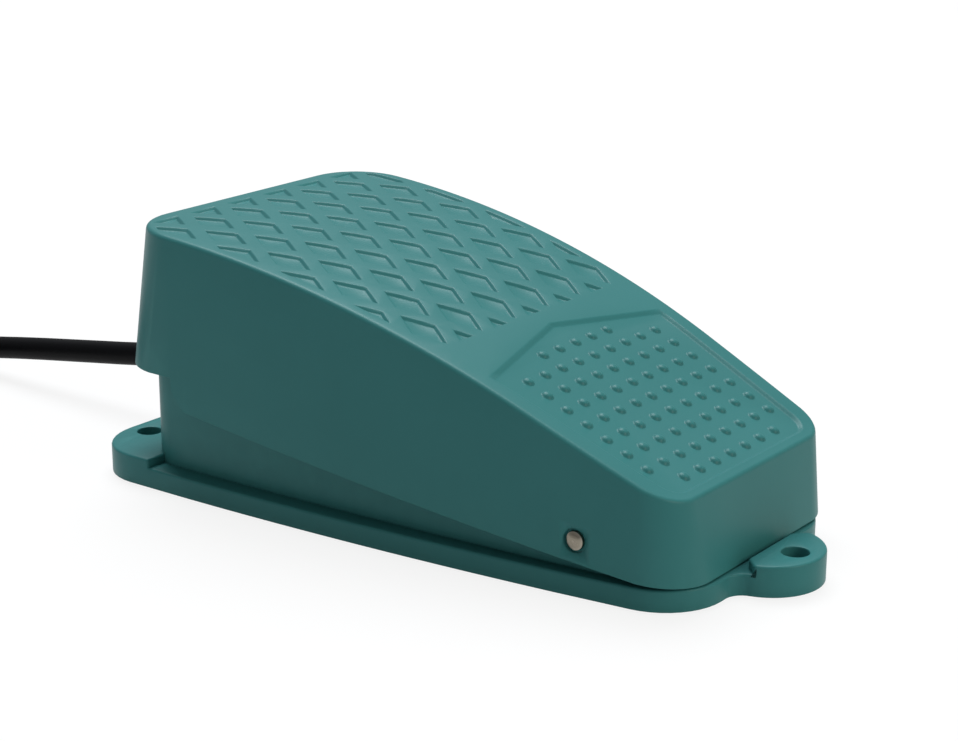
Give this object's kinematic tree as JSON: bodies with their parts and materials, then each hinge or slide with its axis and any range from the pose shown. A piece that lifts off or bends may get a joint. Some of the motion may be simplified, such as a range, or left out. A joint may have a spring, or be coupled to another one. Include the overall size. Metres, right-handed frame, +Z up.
{
  "type": "foot switch",
  "caption": "Foot switch with a wedge-shaped sprung treadle on a hinge pin, a flanged base with screw ears, a snap-action switch inside and a round cable.",
  "frame": {"origin": "on the floor under the middle of the base, where its rubber pads stand", "axes": "+X along the object towards the low, hinged end, +Y across it, +Z up"},
  "size_m": [0.3921, 0.1461, 0.0739],
  "materials": {
    "treadle": "satin",
    "base": "satin",
    "steel": "satin",
    "zinc": "satin",
    "brass": "satin",
    "black_rubber": "matte",
    "black_plastic": "matte",
    "red_plastic": "gloss",
    "cable_sheath": "satin",
    "core_blue": "gloss",
    "core_brown": "gloss",
    "core_green": "gloss"
  },
  "bodies": {
    "base": {"base_tray": "base", "rubber_pads": "black_rubber", "hinge_pin": "steel", "pin_clips": "zinc", "return_spring_near": "steel", "return_spring_far": "steel", "bump_stops": "black_rubber", "micro_switch_case": "black_plastic", "micro_switch_cover": "black_plastic", "lever_pivot_pin": "steel", "contact_blade": "brass", "terminal_common": "brass", "terminal_open": "brass", "terminal_closed": "brass", "switch_bracket": "zinc", "bracket_screws": "zinc", "switch_bolts": "zinc", "switch_nuts": "zinc", "strain_relief": "black_rubber", "cable_clamp": "black_plastic", "clamp_screws": "zinc", "inner_cable": "cable_sheath", "wire_common": "core_blue", "wire_open": "core_brown", "wire_closed": "core_green", "crimp_sleeves": "brass", "cord_free": "cable_sheath", "cord_coil": "cable_sheath", "cord_end_cores": "core_brown"},
    "pedal": {"pedal_cover": "treadle", "push_screw": "zinc", "push_screw_nut": "zinc"},
    "lever": {"micro_switch_lever": "steel"},
    "plunger": {"micro_switch_plunger": "red_plastic"}
  },
  "joints": [
    {"name": "pedal_hinge", "type": "hinge", "parent": "base", "child": "pedal", "pos_m": [0.0582, 0, 0.0158], "axis": [0, -1, 0], "range_deg": [0, 3], "stiffness_Nm_per_rad": 12, "springref_deg": -5.73, "deforming": ["return_spring_near", "return_spring_far"]},
    {"name": "lever_hinge", "type": "hinge", "parent": "base", "child": "lever", "pos_m": [-0.0188, 0, 0.0514], "axis": [0, -1, 0], "range_deg": [0, 8.75]},
    {"name": "plunger_slide", "type": "slide", "parent": "base", "child": "plunger", "axis": [0, 0, -1], "range_m": [0, 0.00141]}
  ],
  "couplings": [
    {"joint": "lever_hinge", "follows": "pedal_hinge", "ratio": 2.8825},
    {"joint": "plunger_slide", "follows": "pedal_hinge", "m_per_rad": 0.026313}
  ]
}
